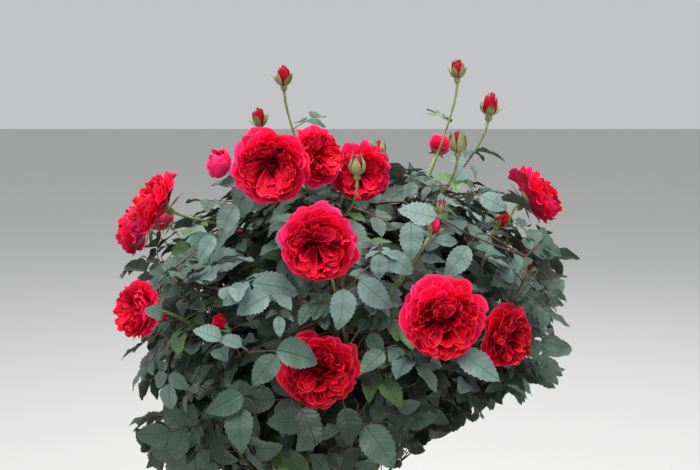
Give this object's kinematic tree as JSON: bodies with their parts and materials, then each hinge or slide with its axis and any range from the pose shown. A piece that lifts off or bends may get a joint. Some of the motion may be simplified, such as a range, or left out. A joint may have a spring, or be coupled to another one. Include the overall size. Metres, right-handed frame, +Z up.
{
  "type": "potted rose bush",
  "caption": "Bushy rose in a round clay pot: arching canes with side boughs, masses of compound leaves, quartered rosette blooms and pointed buds.",
  "frame": {"origin": "centre of the pot's flat underside, at floor level", "axes": "+Z up, -Y towards the front, from which the picture looks, +X to that viewer's right"},
  "size_m": [0.5429, 0.537, 0.8974],
  "materials": {
    "terracotta": "matt, dusty",
    "soil": "crumbly, damp",
    "bark": "rough",
    "cane": "smooth with prickles",
    "foliage": "matt leaves, velvety petals"
  },
  "bodies": {
    "root": {"pot": "terracotta", "soil": "soil", "rootstock": "bark", "cane_1": "cane", "cane_2": "cane", "cane_3": "cane", "cane_4": "cane", "cane_5": "cane", "bough_low_1": "cane", "bough_low_2": "cane", "bough_low_3": "cane", "bough_low_4": "cane", "bough_low_5": "cane", "bough_middle_1": "cane", "bough_middle_2": "cane", "bough_middle_3": "cane", "bough_middle_4": "cane", "bough_middle_5": "cane", "bough_middle_6": "cane", "bough_middle_7": "cane", "leaves_low_1": "foliage", "leaves_low_2": "foliage", "leaves_low_3": "foliage", "leaves_low_4": "foliage", "leaves_low_5": "foliage", "leaves_middle_1": "foliage", "leaves_middle_2": "foliage", "leaves_middle_3": "foliage", "leaves_middle_4": "foliage", "leaves_middle_5": "foliage", "leaves_middle_6": "foliage", "leaves_middle_7": "foliage", "leaves_upper_1": "foliage", "leaves_upper_2": "foliage", "leaves_upper_3": "foliage", "leaves_upper_4": "foliage", "leaves_upper_5": "foliage"}
  },
  "joints": []
}
